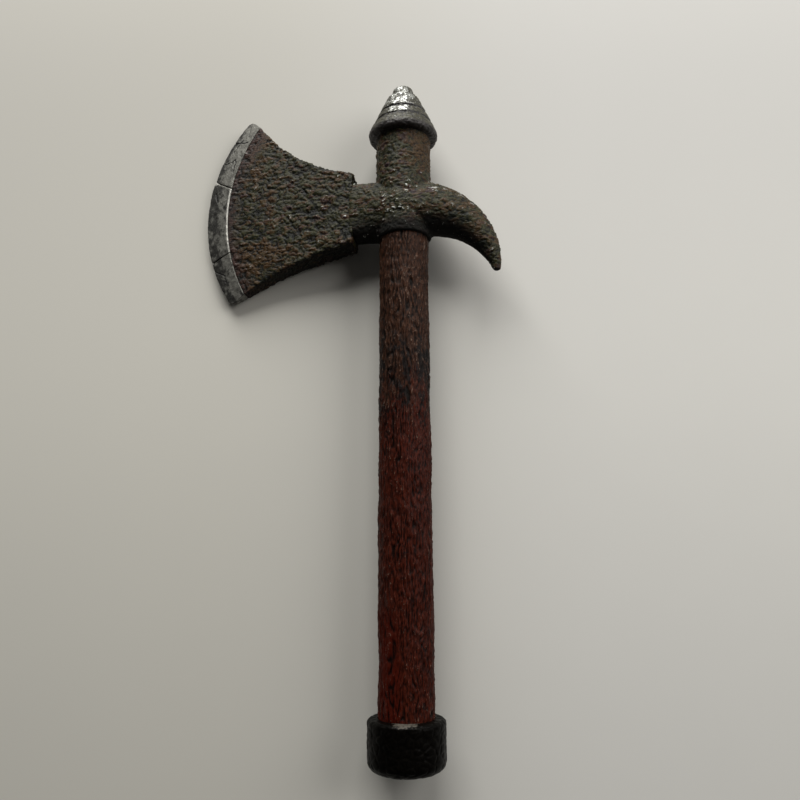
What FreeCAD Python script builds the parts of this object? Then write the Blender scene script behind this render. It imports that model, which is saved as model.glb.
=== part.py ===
"""A hatchet with a fan blade, a rear beak, a conical finial and an iron pommel cap, as separate pieces.

The tool frame has the haft's axis along +Y with the butt face at y = 0, the blade towards -X, the beak
towards +X and the blade's thickness along Z.  lay_down() then rolls every piece about the haft's axis until
the lower side of the cutting edge touches the surface that the pommel cap and the finial's skirt lie on.
Units are millimetres.
"""

import FreeCAD, Part
import math
import os

V = FreeCAD.Vector
HAFT_AXIS = V(0, 1, 0)
THICKNESS_AXIS = V(0, 0, 1)

# Haft
SHOULDER_Y = 328.5          # butt face to the shoulder that the head seats on
TENON_RADIUS = 14.0
TENON_PROUD = 1.5           # tenon above the socket's top end
TENON_CHAMFER = 1.0
SHOULDER_STEP = 1.8         # from the tenon out to the haft's side
HAFT_SWELL = 1.0            # how much larger the haft's radius is at the pommel cap

# Wedges in the tenon
KERF_DEPTH = 50.0
WEDGE_TOP_THICKNESS = 5.0
WEDGE_TOE_THICKNESS = 1.2
STEEL_WEDGE_LENGTH = 22.0
STEEL_WEDGE_WIDTH = 14.0
STEEL_WEDGE_TOP = 2.4
STEEL_WEDGE_TOE = 0.6
STEEL_WEDGE_OFFSET = 6.0    # each side of the haft's axis

# Head forging: socket, neck, tongue and beak
EYE_CLEARANCE = 0.05
SOCKET_WALL = 4.2
SPIGOT_STEP = 1.3           # from the socket's side in to its threaded end
SPIGOT_LENGTH = 8.0
FINIAL_SEAT_HEIGHT = 71.3   # shoulder of the haft to the step that the finial's skirt seats on
BOSS_HEIGHT = 20.5          # shoulder of the haft to the middle of the neck and beak
BOSS_HALF_HEIGHT = 20.0
BOSS_PROUD = 1.6            # boss above the socket's side
NECK_LENGTH = 14.7          # socket's side to the blade's root
NECK_END_HALF_HEIGHT = 19.6
NECK_END_INSET = 0.1        # neck's side behind the blade's cheek
NECK_END_SQUARENESS = 4.0   # 2 is an oval, and more is nearer to a box
BEAK_START_X = 9.0          # where the beak's centre line begins to bend down
BEAK_ROOT_HALF_HEIGHT = 18.8
BEAK_BEND_RADIUS = 52.6
BEAK_TURN = 79.7            # degrees
BEAK_TIP_HALF_HEIGHT = 3.0
BEAK_TAPER_POWER = 1.35
BEAK_FLATNESS = 0.94        # half thickness over half height
TONGUE_LENGTH = 26.0
TONGUE_HEIGHT = 24.0
TONGUE_THICKNESS = 8.0
TONGUE_CLEARANCE = 0.1

# Blade body
BLADE_ROOT_TOP = 26.0       # above the middle of the neck
BLADE_ROOT_BOTTOM = -24.2
ROOT_CORNER_RADIUS = 2.5
BLADE_HALF_THICKNESS = 11.0
SEAT_HALF_THICKNESS = 4.95  # at the middle of the seat that the bits meet
TOP_EDGE_SAG = 8.0
BOTTOM_EDGE_SAG = 3.5

# Cutting edge
EDGE_CENTRE_BACK = 6.5      # from the blade's root back to the centre of the edge's circle
EDGE_CENTRE_RISE = 1.4      # above the middle of the neck
EDGE_RADIUS = 111.2
EDGE_HALF_THICKNESS = 1.0
BIT_WIDTH = 16.0            # seat to edge, in the middle
SEAT_FLATTER = 7.0          # how much larger the seat's radius is than the edge's
BEVEL_SLOPE = 0.29
BIT_PROUD = 0.4             # bits above the cheeks
UPPER_HORN_ANGLE = 42.3     # degrees above the -X direction, seen from the edge's centre
LOWER_HORN_ANGLE = -34.2
UPPER_JOINT_ANGLE = 15.6
UPPER_JOINT_SLANT = -2.2    # degrees further round at the seat than at the cutting edge
LOWER_JOINT_ANGLE = -16.1
LOWER_JOINT_SLANT = 1.1
JOINT_GAP = 0.5
UPPER_BIT_SETBACK = 0.6     # ground further back than the middle bit
LOWER_BIT_SETBACK = 0.3
BIT_CORNER_RADIUS = 1.6
HORN_CORNER_RADIUS = 4.5
BIT_TONGUE_DEPTH = 7.0
BIT_TONGUE_THICKNESS = 2.4
BIT_TONGUE_CLEARANCE = 0.05
TONGUE_END_MARGIN = 3.0     # degrees from the horns to the ends of the bits' tongues

# Rivets, set from the back face into blind holes
BIT_RIVET_RADIUS = 1.5
BLADE_RIVET_RADIUS = 3.0
BLADE_RIVET_SPACING = 12.0
RIVET_PAST_TONGUE = 1.2     # how far a rivet goes into the front cheek
RIVET_HEAD_PROUD = 0.4

# Finial
THREAD_CLEARANCE = 0.1
SKIRT_OVERHANG = 5.3        # skirt beyond the socket's side
SKIRT_FACE_OVERHANG = 2.5   # flat lower face of the skirt beyond the socket's side
CONE_FOOT_HEIGHT = 4.2      # skirt's lower face to the cone's foot
CONE_TOP_HEIGHT = 31.2      # skirt's lower face to the cone's top
CONE_TOP_RADIUS = 11.0
TIER_GROOVE_HEIGHTS = (11.2, 18.7)
TIER_GROOVE_DEPTH = 1.3
TIER_GROOVE_HALF_WIDTH = 1.1
CAVITY_ABOVE_SPIGOT = 2.0
CAVITY_TOP_RADIUS = 7.0
ROOF_THICKNESS = 10.6       # cavity's top to the cone's top
KNOB_RADIUS = 7.4
KNOB_HEIGHT = 9.1
KNOB_FLAT_RADIUS = 2.8
KNOB_SHANK_RADIUS = 3.0
KNOB_SHANK_PAST_ROOF = 1.4

# Pommel cap and its pin
POMMEL_WALL = 6.7           # haft's side to the cap's side
POMMEL_HEIGHT = 29.4
POMMEL_FLOOR = 7.5
POMMEL_CLEARANCE = 0.1
POMMEL_BOTTOM_ROUND = 7.0
POMMEL_TOP_CHAMFER = 1.6
PIN_RADIUS = 2.0
PIN_PAST_AXIS = 10.0

# Radii that follow from the sizes above
HAFT_NECK_RADIUS = TENON_RADIUS + SHOULDER_STEP
HAFT_BUTT_RADIUS = HAFT_NECK_RADIUS + HAFT_SWELL
SOCKET_RADIUS = TENON_RADIUS + SOCKET_WALL
SPIGOT_RADIUS = SOCKET_RADIUS - SPIGOT_STEP
SKIRT_RADIUS = SOCKET_RADIUS + SKIRT_OVERHANG
POMMEL_RADIUS = HAFT_BUTT_RADIUS + POMMEL_WALL
BIT_SEAT_RADIUS = EDGE_RADIUS + SEAT_FLATTER
SEAT_TO_EDGE_CENTRE = EDGE_RADIUS - BIT_WIDTH
CHEEK_DROP = BLADE_HALF_THICKNESS - SEAT_HALF_THICKNESS
CHEEK_RADIUS = (SEAT_TO_EDGE_CENTRE ** 2 + CHEEK_DROP ** 2) / (2 * CHEEK_DROP)

# Places that follow from the sizes above
HEAD_Y = SHOULDER_Y + BOSS_HEIGHT
FINIAL_Y = SHOULDER_Y + FINIAL_SEAT_HEIGHT
SOCKET_TOP_Y = FINIAL_Y + SPIGOT_LENGTH
TENON_TOP_Y = SOCKET_TOP_Y + TENON_PROUD
PIN_Y = (POMMEL_FLOOR + POMMEL_HEIGHT) / 2
BLADE_ROOT_X = -SOCKET_RADIUS - NECK_LENGTH
EDGE_CENTRE = V(BLADE_ROOT_X + EDGE_CENTRE_BACK, HEAD_Y + EDGE_CENTRE_RISE, 0)
BIT_SEAT_CENTRE = EDGE_CENTRE + V(BIT_SEAT_RADIUS - SEAT_TO_EDGE_CENTRE, 0, 0)
REACH = EDGE_RADIUS - EDGE_CENTRE.x      # haft's axis to the cutting edge

# How the shapes are made
CUT_MARGIN = 1.0                         # a cutting tool past what it cuts
CUT_EXTENSION = 1.5                      # a prism across the bits past their ends, in widths of a bit
DEEP = 3 * BLADE_HALF_THICKNESS          # thicker than any piece of the blade
BEAK_SECTIONS = 6
SECTION_POINTS = 24                      # on the outline of each section of the neck and beak
ROLL_STEPS = 200                         # places tried along a bit for the touching point
TOLERANCE = 0.01                         # for finding an edge by its place


def turned(profile):
    """A solid of revolution about the haft's axis from (radius, y) corners."""
    points = [V(radius, y, 0) for radius, y in profile]
    wire = Part.makePolygon(points + points[:1])
    return Part.Face(wire).revolve(V(0, 0, 0), HAFT_AXIS, 360)


def rounded(shape, radius, chosen):
    """shape with the edges that chosen() picks rounded to radius."""
    return shape.makeFillet(radius, [edge for edge in shape.Edges if chosen(edge)])


def circle_edge_at(radius, y):
    """Picks the circular edges about the haft's axis with that radius and height."""
    def chosen(edge):
        curve = edge.Curve
        return (isinstance(curve, Part.Circle) and abs(curve.Radius - radius) < TOLERANCE
                and abs(curve.Center.y - y) < TOLERANCE)
    return chosen


def is_upright(edge):
    """Whether an edge runs along the blade's thickness."""
    rise = abs(edge.Vertexes[0].Point.z - edge.Vertexes[-1].Point.z)
    return abs(rise - edge.Length) < TOLERANCE


def upright_edge_at(place):
    """Picks the edge along the thickness that passes through a place."""
    def chosen(edge):
        middle = edge.CenterOfMass
        return is_upright(edge) and math.hypot(middle.x - place.x, middle.y - place.y) < TOLERANCE
    return chosen


def cylinder(radius, start, end):
    """A round bar from start to end."""
    along = end - start
    return Part.makeCylinder(radius, along.Length, start, along)


def arc_by_sag(start, end, sag):
    """The arc from start to end that bulges by sag to the left of the way from start to end."""
    chord = end - start
    left = THICKNESS_AXIS.cross(chord).normalize()
    return Part.Arc(start, (start + end) * 0.5 + left * sag, end).toShape()


def slab(wire, height=DEEP):
    """A prism of the closed wire, centred on the blade's middle plane."""
    wire.translate(V(0, 0, -height / 2))
    return Part.Face(wire).extrude(V(0, 0, height))


def from_edge_centre(angle, distance):
    """The point at that angle above the -X direction and that distance from the edge's centre."""
    turn = math.radians(angle)
    return EDGE_CENTRE + V(-math.cos(turn), math.sin(turn), 0) * distance


def seat_distance(angle):
    """How far from the edge's centre the bit seat lies at that angle."""
    turn = math.radians(angle)
    apart = BIT_SEAT_CENTRE.x - EDGE_CENTRE.x
    return -apart * math.cos(turn) + math.sqrt(BIT_SEAT_RADIUS ** 2 - (apart * math.sin(turn)) ** 2)


def across_bits(angle, slant):
    """The two ends of a line across the bits that crosses the cutting edge at angle and the seat at
    angle + slant, made longer at each end."""
    outer = from_edge_centre(angle, EDGE_RADIUS)
    inner = from_edge_centre(angle + slant, seat_distance(angle))
    longer = (outer - inner) * CUT_EXTENSION
    return outer + longer, inner - longer


def sector(low, high):
    """A prism that holds everything between two (angle, slant) lines across the bits."""
    low_outer, low_inner = across_bits(*low)
    high_outer, high_inner = across_bits(*high)
    corners = [low_inner, low_outer, high_outer, high_inner]
    return slab(Part.makePolygon(corners + corners[:1]))


def disc(centre, radius, height=DEEP):
    """A cylinder through the blade's thickness."""
    return Part.makeCylinder(radius, height, centre - V(0, 0, height / 2), THICKNESS_AXIS)


def cheek_half_thickness(distance):
    """Half the blade's thickness at a distance from the edge's centre."""
    return BLADE_HALF_THICKNESS - CHEEK_RADIUS + math.sqrt(CHEEK_RADIUS ** 2 - distance ** 2)


def lens(extra=0.0):
    """The double-convex body that the cheeks are cut from, grown by extra on each face."""
    def cap(side):
        centre = EDGE_CENTRE + V(0, 0, side * (BLADE_HALF_THICKNESS + extra - CHEEK_RADIUS))
        return Part.makeSphere(CHEEK_RADIUS, centre)
    return cap(1).common(cap(-1)).common(disc(EDGE_CENTRE, EDGE_RADIUS + CUT_MARGIN))


def bevel():
    """The double cone that thins the bits to the cutting edge."""
    root = EDGE_HALF_THICKNESS + BEVEL_SLOPE * EDGE_RADIUS
    corners = [V(0, 0, -root), V(EDGE_RADIUS, 0, -EDGE_HALF_THICKNESS),
               V(EDGE_RADIUS, 0, EDGE_HALF_THICKNESS), V(0, 0, root)]
    solid = Part.Face(Part.makePolygon(corners + corners[:1])).revolve(V(0, 0, 0), THICKNESS_AXIS, 360)
    solid.translate(EDGE_CENTRE)
    return solid


def taper_slab(length, top, toe, width, across):
    """A wedge standing in the tenon's top: length along the haft, width along the unit vector across."""
    thin = HAFT_AXIS.cross(across)
    head = V(0, TENON_TOP_Y, 0)
    foot = V(0, TENON_TOP_Y - length, 0)
    corners = [head + thin * (top / 2), head - thin * (top / 2),
               foot - thin * (toe / 2), foot + thin * (toe / 2)]
    face = Part.Face(Part.makePolygon(corners + corners[:1]))
    face.translate(across * (-width / 2))
    return face.extrude(across * width)


def tenon(clearance):
    """The haft's top end, smaller than the eye by the clearance."""
    bar = cylinder(TENON_RADIUS - clearance, V(0, SHOULDER_Y, 0), V(0, TENON_TOP_Y, 0))
    at_top = circle_edge_at(TENON_RADIUS - clearance, TENON_TOP_Y)
    return bar.makeChamfer(TENON_CHAMFER, [edge for edge in bar.Edges if at_top(edge)])


def steel_wedge_pair():
    """Two steel wedges driven across the wooden one."""
    one = taper_slab(STEEL_WEDGE_LENGTH, STEEL_WEDGE_TOP, STEEL_WEDGE_TOE, STEEL_WEDGE_WIDTH, THICKNESS_AXIS)
    pair = []
    for side in (-1, 1):
        copy = one.copy()
        copy.translate(V(side * STEEL_WEDGE_OFFSET, 0, 0))
        pair.append(copy)
    return pair


def kerf():
    """The sawn slot, opened by the wooden wedge, across the tenon towards the blade."""
    width = 2 * (TENON_RADIUS + CUT_MARGIN)
    return taper_slab(KERF_DEPTH, WEDGE_TOP_THICKNESS, WEDGE_TOE_THICKNESS, width, V(1, 0, 0))


def make_wood_wedge():
    wedge = kerf().common(tenon(EYE_CLEARANCE))
    for steel in steel_wedge_pair():
        wedge = wedge.cut(steel)
    return wedge


def make_haft():
    body = turned([(0, POMMEL_FLOOR), (HAFT_BUTT_RADIUS, POMMEL_FLOOR), (HAFT_BUTT_RADIUS, POMMEL_HEIGHT),
                   (HAFT_NECK_RADIUS, SHOULDER_Y), (0, SHOULDER_Y)])
    body = body.fuse(tenon(EYE_CLEARANCE)).removeSplitter()
    for tool in [kerf(), pommel_pin_bar()] + steel_wedge_pair():
        body = body.cut(tool)
    return body


def superellipse(angle, squareness):
    """The point at an angle on the outline of a unit oval, or of a squarer one."""
    power = 2 / squareness
    return [math.copysign(abs(side) ** power, side) for side in (math.cos(angle), math.sin(angle))]


def oval(centre, turn, half_height, half_thickness, squareness=2.0):
    """A rounded section across a bar whose centre line points down by turn (radians) from +X."""
    upward = V(math.sin(turn), math.cos(turn), 0)
    outline = []
    for step in range(SECTION_POINTS):
        rise, out = superellipse(2 * math.pi * step / SECTION_POINTS, squareness)
        outline.append(centre + upward * (half_height * rise) + THICKNESS_AXIS * (half_thickness * out))
    curve = Part.BSplineCurve()
    curve.interpolate(outline, PeriodicFlag=True)
    return Part.Wire(curve.toShape())


def beak_section(share):
    """Centre, turn and half height of the beak at a share of its length."""
    turn = math.radians(BEAK_TURN) * share
    centre = V(BEAK_START_X + BEAK_BEND_RADIUS * math.sin(turn),
               HEAD_Y - BEAK_BEND_RADIUS * (1 - math.cos(turn)), 0)
    half = (BEAK_ROOT_HALF_HEIGHT
            + (BEAK_TIP_HALF_HEIGHT - BEAK_ROOT_HALF_HEIGHT) * share ** BEAK_TAPER_POWER)
    return centre, turn, half


def boss_oval():
    """The widest section of the cross bar, on the haft's axis."""
    return oval(V(0, HEAD_Y, 0), 0, BOSS_HALF_HEIGHT, SOCKET_RADIUS + BOSS_PROUD)


def beak():
    sections = []
    for step in range(BEAK_SECTIONS):
        centre, turn, half = beak_section(step / (BEAK_SECTIONS - 1))
        sections.append(oval(centre, turn, half, half * BEAK_FLATNESS))
    root = Part.makeLoft([boss_oval(), sections[0]], True)
    tip = Part.makeSphere(half * BEAK_FLATNESS, centre)
    return Part.makeLoft(sections, True).fuse([root, tip])


def neck():
    end = oval(V(BLADE_ROOT_X, HEAD_Y, 0), 0, NECK_END_HALF_HEIGHT, BLADE_HALF_THICKNESS - NECK_END_INSET,
               NECK_END_SQUARENESS)
    return Part.makeLoft([boss_oval(), end], True)


def neck_tongue(clearance=0.0):
    """The flat tongue of the neck, or with a clearance the mortise for it."""
    return Part.makeBox(TONGUE_LENGTH + clearance, TONGUE_HEIGHT + 2 * clearance,
                        TONGUE_THICKNESS + 2 * clearance,
                        V(BLADE_ROOT_X - TONGUE_LENGTH - clearance, HEAD_Y - TONGUE_HEIGHT / 2 - clearance,
                          -TONGUE_THICKNESS / 2 - clearance))


def make_head_forging():
    socket = cylinder(SOCKET_RADIUS, V(0, SHOULDER_Y, 0), V(0, FINIAL_Y, 0))
    spigot = cylinder(SPIGOT_RADIUS, V(0, FINIAL_Y, 0), V(0, SOCKET_TOP_Y, 0))
    body = socket.fuse([spigot, neck(), beak(), neck_tongue()]).removeSplitter()
    eye = cylinder(TENON_RADIUS, V(0, 0, 0), V(0, TENON_TOP_Y, 0))
    body = body.cut(eye)
    for rivet in blade_rivet_bars():
        body = body.cut(rivet)
    return body


def root_corners():
    """The blade's upper and lower corners beside the neck."""
    return [V(BLADE_ROOT_X, HEAD_Y + height, 0) for height in (BLADE_ROOT_TOP, BLADE_ROOT_BOTTOM)]


def blade_outline():
    """The blade body seen from the front: root, top edge, bit seat, bottom edge."""
    root_top, root_bottom = root_corners()
    upper = from_edge_centre(UPPER_HORN_ANGLE, seat_distance(UPPER_HORN_ANGLE))
    lower = from_edge_centre(LOWER_HORN_ANGLE, seat_distance(LOWER_HORN_ANGLE))
    seat_middle = BIT_SEAT_CENTRE - V(BIT_SEAT_RADIUS, 0, 0)
    return Part.Wire([arc_by_sag(root_top, upper, TOP_EDGE_SAG),
                      Part.Arc(upper, seat_middle, lower).toShape(),
                      arc_by_sag(lower, root_bottom, BOTTOM_EDGE_SAG),
                      Part.makeLine(root_bottom, root_top)])


def bit_tongue_ring(clearance=0.0):
    """The ring behind the bit seat that the bits' tongues fill, or with a clearance the groove for it."""
    height = BIT_TONGUE_THICKNESS + 2 * clearance
    outer = disc(BIT_SEAT_CENTRE, BIT_SEAT_RADIUS + BIT_PROUD, height)
    inner = disc(BIT_SEAT_CENTRE, BIT_SEAT_RADIUS - BIT_TONGUE_DEPTH - clearance, height)
    return outer.cut(inner)


def make_blade_body():
    body = slab(blade_outline())
    for corner in root_corners():
        body = rounded(body, ROOT_CORNER_RADIUS, upright_edge_at(corner))
    body = body.common(lens())
    body = body.cut(neck_tongue(TONGUE_CLEARANCE))
    groove = bit_tongue_ring(BIT_TONGUE_CLEARANCE)
    body = body.cut(groove.common(sector(tongue_end((LOWER_HORN_ANGLE, 0)),
                                         tongue_end((UPPER_HORN_ANGLE, 0)))))
    for rivet in blade_rivet_bars() + bit_rivet_bars():
        body = body.cut(rivet)
    return body


def bit_ends():
    """name: (low line, high line, setback) of each edge bit, a line being (angle, slant)."""
    half_gap = math.degrees(JOINT_GAP / 2 / EDGE_RADIUS)
    return {"edge_bit_lower": ((LOWER_HORN_ANGLE, 0), (LOWER_JOINT_ANGLE - half_gap, LOWER_JOINT_SLANT),
                               LOWER_BIT_SETBACK),
            "edge_bit_middle": ((LOWER_JOINT_ANGLE + half_gap, LOWER_JOINT_SLANT),
                                (UPPER_JOINT_ANGLE - half_gap, UPPER_JOINT_SLANT), 0),
            "edge_bit_upper": ((UPPER_JOINT_ANGLE + half_gap, UPPER_JOINT_SLANT), (UPPER_HORN_ANGLE, 0),
                               UPPER_BIT_SETBACK)}


def rim_corners(crescent, radius):
    """The upright edges of a crescent on the circle of its cutting edge, lowest first."""
    def on_rim(edge):
        middle = edge.CenterOfMass
        return is_upright(edge) and abs((middle - EDGE_CENTRE).Length - radius) < TOLERANCE
    return sorted([edge for edge in crescent.Edges if on_rim(edge)], key=lambda edge: edge.CenterOfMass.y)


def at_horn(line):
    return line[0] in (LOWER_HORN_ANGLE, UPPER_HORN_ANGLE)


def tongue_end(line):
    """A bit's end line, moved in where it is a horn's, so that the tongue stays inside the blade body."""
    angle, slant = line
    inward = math.copysign(TONGUE_END_MARGIN, -angle) if at_horn(line) else 0
    return angle + inward, slant


def make_edge_bit(low, high, setback):
    """One length of the steel edge: a crescent with a tongue that fills the blade's groove."""
    radius = EDGE_RADIUS - setback
    crescent = disc(EDGE_CENTRE, radius).cut(disc(BIT_SEAT_CENTRE, BIT_SEAT_RADIUS))
    crescent = crescent.common(sector(low, high))
    for place, line in ((0, low), (-1, high)):
        corner_radius = HORN_CORNER_RADIUS if at_horn(line) else BIT_CORNER_RADIUS
        crescent = crescent.makeFillet(corner_radius, [rim_corners(crescent, radius)[place]])
    blade = crescent.common(lens(BIT_PROUD)).common(bevel())
    tongue = bit_tongue_ring().common(sector(tongue_end(low), tongue_end(high)))
    solid = blade.fuse(tongue).removeSplitter()
    for rivet in bit_rivet_bars():
        solid = solid.cut(rivet)
    return solid


def rivet_bar(x, y, radius, tongue_thickness):
    """A bar from behind the back face, through a tongue and a little into the front cheek."""
    return Part.makeCylinder(radius, DEEP / 2 + tongue_thickness / 2 + RIVET_PAST_TONGUE,
                             V(x, y, -DEEP / 2), THICKNESS_AXIS)


def blade_rivet_bars():
    x = BLADE_ROOT_X - TONGUE_LENGTH / 2
    return [rivet_bar(x, HEAD_Y + side * BLADE_RIVET_SPACING / 2, BLADE_RIVET_RADIUS, TONGUE_THICKNESS)
            for side in (-1, 1)]


def bit_rivet_bars():
    """Two rivets to a bit, in the middle of the tongues' depth."""
    bars = []
    for low, high, _ in bit_ends().values():
        for share in (0.25, 0.75):
            angle = low[0] + (high[0] - low[0]) * share
            place = from_edge_centre(angle, seat_distance(angle) - BIT_TONGUE_DEPTH / 2)
            bars.append(rivet_bar(place.x, place.y, BIT_RIVET_RADIUS, BIT_TONGUE_THICKNESS))
    return bars


def make_rivets(bars):
    """The bars cut to length, with their peened ends just above the back cheek."""
    return Part.makeCompound([bar.common(lens(RIVET_HEAD_PROUD)) for bar in bars])


def cone_radius(height):
    """The finial cone's radius at a height above the skirt's lower face."""
    share = (height - CONE_FOOT_HEIGHT) / (CONE_TOP_HEIGHT - CONE_FOOT_HEIGHT)
    return SKIRT_RADIUS + (CONE_TOP_RADIUS - SKIRT_RADIUS) * share


def make_finial_cap():
    bore = SPIGOT_RADIUS + THREAD_CLEARANCE
    cavity_top = CONE_TOP_HEIGHT - ROOF_THICKNESS
    outside = [(bore, 0), (SKIRT_RADIUS, 0), (SKIRT_RADIUS, CONE_FOOT_HEIGHT)]
    for height in TIER_GROOVE_HEIGHTS:
        outside += [(cone_radius(height - TIER_GROOVE_HALF_WIDTH), height - TIER_GROOVE_HALF_WIDTH),
                    (cone_radius(height) - TIER_GROOVE_DEPTH, height),
                    (cone_radius(height + TIER_GROOVE_HALF_WIDTH), height + TIER_GROOVE_HALF_WIDTH)]
    inside = [(CONE_TOP_RADIUS, CONE_TOP_HEIGHT), (KNOB_SHANK_RADIUS, CONE_TOP_HEIGHT),
              (KNOB_SHANK_RADIUS, cavity_top), (CAVITY_TOP_RADIUS, cavity_top),
              (bore, SPIGOT_LENGTH + CAVITY_ABOVE_SPIGOT)]
    cap = turned([(radius, FINIAL_Y + height) for radius, height in outside + inside])
    return rounded(cap, SKIRT_OVERHANG - SKIRT_FACE_OVERHANG, circle_edge_at(SKIRT_RADIUS, FINIAL_Y))


def make_finial_knob():
    base = FINIAL_Y + CONE_TOP_HEIGHT
    foot = base - ROOF_THICKNESS - KNOB_SHANK_PAST_ROOF
    knob = turned([(0, foot), (KNOB_SHANK_RADIUS, foot),
                   (KNOB_SHANK_RADIUS, base), (KNOB_RADIUS, base), (KNOB_RADIUS, base + KNOB_HEIGHT),
                   (0, base + KNOB_HEIGHT)])
    return rounded(knob, KNOB_RADIUS - KNOB_FLAT_RADIUS, circle_edge_at(KNOB_RADIUS, base + KNOB_HEIGHT))


def pommel_pin_bar():
    """A bar from outside the cap, on the blade's side, to past the haft's axis."""
    return cylinder(PIN_RADIUS, V(-2 * POMMEL_RADIUS, PIN_Y, 0), V(PIN_PAST_AXIS, PIN_Y, 0))


def make_pommel_pin():
    """The pin, filed flush with the cap's side."""
    return pommel_pin_bar().common(cylinder(POMMEL_RADIUS, V(0, 0, 0), V(0, POMMEL_HEIGHT, 0)))


def make_pommel_cap():
    bore = HAFT_BUTT_RADIUS + POMMEL_CLEARANCE
    cap = turned([(0, 0), (POMMEL_RADIUS, 0), (POMMEL_RADIUS, POMMEL_HEIGHT - POMMEL_TOP_CHAMFER),
                  (POMMEL_RADIUS - POMMEL_TOP_CHAMFER, POMMEL_HEIGHT), (bore, POMMEL_HEIGHT),
                  (bore, POMMEL_FLOOR), (0, POMMEL_FLOOR)])
    cap = rounded(cap, POMMEL_BOTTOM_ROUND, circle_edge_at(POMMEL_RADIUS, 0))
    return cap.cut(pommel_pin_bar())


def bit_half_thickness(distance):
    """Half the bits' thickness at a distance from the edge's centre."""
    bevelled = EDGE_HALF_THICKNESS + BEVEL_SLOPE * (EDGE_RADIUS - distance)
    return min(cheek_half_thickness(distance) + BIT_PROUD, bevelled)


def rest_roll():
    """Degrees that the tool rolls, blade side down, until a bit touches the resting surface."""
    touching = []
    for step in range(ROLL_STEPS + 1):
        distance = seat_distance(0) + (EDGE_RADIUS - seat_distance(0)) * step / ROLL_STEPS
        out = distance - EDGE_CENTRE.x
        half = bit_half_thickness(distance)
        drop = max(POMMEL_RADIUS, SKIRT_RADIUS)
        touching.append(math.asin(drop / math.hypot(out, half)) - math.atan2(half, out))
    return math.degrees(min(touching))


def lay_down(shape):
    """The piece as the hatchet lies on a table."""
    placed = shape.copy()
    placed.rotate(V(0, 0, 0), HAFT_AXIS, -rest_roll())
    return placed


def pieces():
    made = {
        "haft": make_haft(),
        "wood_wedge": make_wood_wedge(),
        "steel_wedges": Part.makeCompound(steel_wedge_pair()),
        "head_forging": make_head_forging(),
        "blade_body": make_blade_body(),
        "blade_rivets": make_rivets(blade_rivet_bars()),
        "bit_rivets": make_rivets(bit_rivet_bars()),
        "finial_cap": make_finial_cap(),
        "finial_knob": make_finial_knob(),
        "pommel_cap": make_pommel_cap(),
        "pommel_pin": make_pommel_pin(),
    }
    for name, ends in bit_ends().items():
        made[name] = make_edge_bit(*ends)
    return made


os.makedirs("parts", exist_ok=True)
for name, shape in pieces().items():
    lay_down(shape).exportStep(f"parts/{name}.step")
    print(f"{name}: {len(shape.Solids)} solids, {shape.Volume / 1000:.2f} cm3, valid {shape.isValid()}")
print(f"rest roll {rest_roll():.2f} degrees, reach {REACH:.1f} mm")
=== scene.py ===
"""Looks for the hatchet: forged iron with wear, painted highlights and painted shade, a ground steel edge, a
carved and stained haft, a pale floor with painted light.

Sizes and places on the hatchet are in millimetres, and MM turns them into metres.  Those of the floor, the
lamps and the camera are in metres.  The haft runs along +Y from the butt, the blade lies towards -X and the
beak towards +X, and the whole tool is rolled a little about the haft, as it rests.
"""

import math

import bmesh
import bpy
import numpy as np
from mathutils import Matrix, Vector, noise
from mathutils.bvhtree import BVHTree


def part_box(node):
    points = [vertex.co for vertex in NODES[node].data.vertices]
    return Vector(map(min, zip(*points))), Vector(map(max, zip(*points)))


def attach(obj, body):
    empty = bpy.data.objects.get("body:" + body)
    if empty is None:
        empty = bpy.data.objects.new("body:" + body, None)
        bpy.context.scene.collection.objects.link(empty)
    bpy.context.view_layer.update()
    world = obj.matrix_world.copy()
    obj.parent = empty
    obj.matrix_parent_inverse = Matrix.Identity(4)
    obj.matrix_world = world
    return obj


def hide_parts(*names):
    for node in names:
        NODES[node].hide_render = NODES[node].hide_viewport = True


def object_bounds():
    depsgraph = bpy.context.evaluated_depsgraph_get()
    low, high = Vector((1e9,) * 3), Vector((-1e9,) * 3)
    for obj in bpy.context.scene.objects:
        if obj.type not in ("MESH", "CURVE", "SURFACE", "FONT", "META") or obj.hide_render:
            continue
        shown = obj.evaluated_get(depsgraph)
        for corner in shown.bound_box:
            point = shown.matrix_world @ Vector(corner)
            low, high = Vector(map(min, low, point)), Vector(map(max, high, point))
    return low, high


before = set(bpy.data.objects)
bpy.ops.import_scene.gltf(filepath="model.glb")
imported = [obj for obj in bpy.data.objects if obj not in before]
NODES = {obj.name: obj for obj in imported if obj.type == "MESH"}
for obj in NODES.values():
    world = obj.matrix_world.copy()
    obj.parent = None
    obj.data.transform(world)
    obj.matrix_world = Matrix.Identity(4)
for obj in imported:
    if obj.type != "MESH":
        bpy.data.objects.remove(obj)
CAD_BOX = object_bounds()
MM = 0.001
SAME_PLACE = 0.001             # corners nearer to each other than this are one corner
BOX_MARGIN = 0.02              # pieces end this far inside the bounds of the CAD
CLOUD_SHIFT = (7.1, 3.7, 5.3)  # how far apart the clouds of two seeds lie
LUMP_SHIFT = (2.3, 4.9, 6.1)   # the same for lumps
LUMP_NUMBER = 7.3              # spreads the lumps' own numbers
CREASE_EDGE = 0.28             # where a lump has risen from its crease to its full height
EASE = 0.5                     # how far one step of softening goes


# ---------------------------------------------------------------- meshes

def places(mesh):
    """The mesh's vertices as rows of an array, in millimetres."""
    found = np.empty(len(mesh.vertices) * 3, np.float32)
    mesh.vertices.foreach_get("co", found)
    return found.reshape(-1, 3).astype(float) / MM


def outward(mesh):
    """The mesh's vertex normals as rows of an array."""
    found = np.empty(len(mesh.vertices) * 3, np.float32)
    mesh.vertices.foreach_get("normal", found)
    return found.reshape(-1, 3).astype(float)


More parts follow.
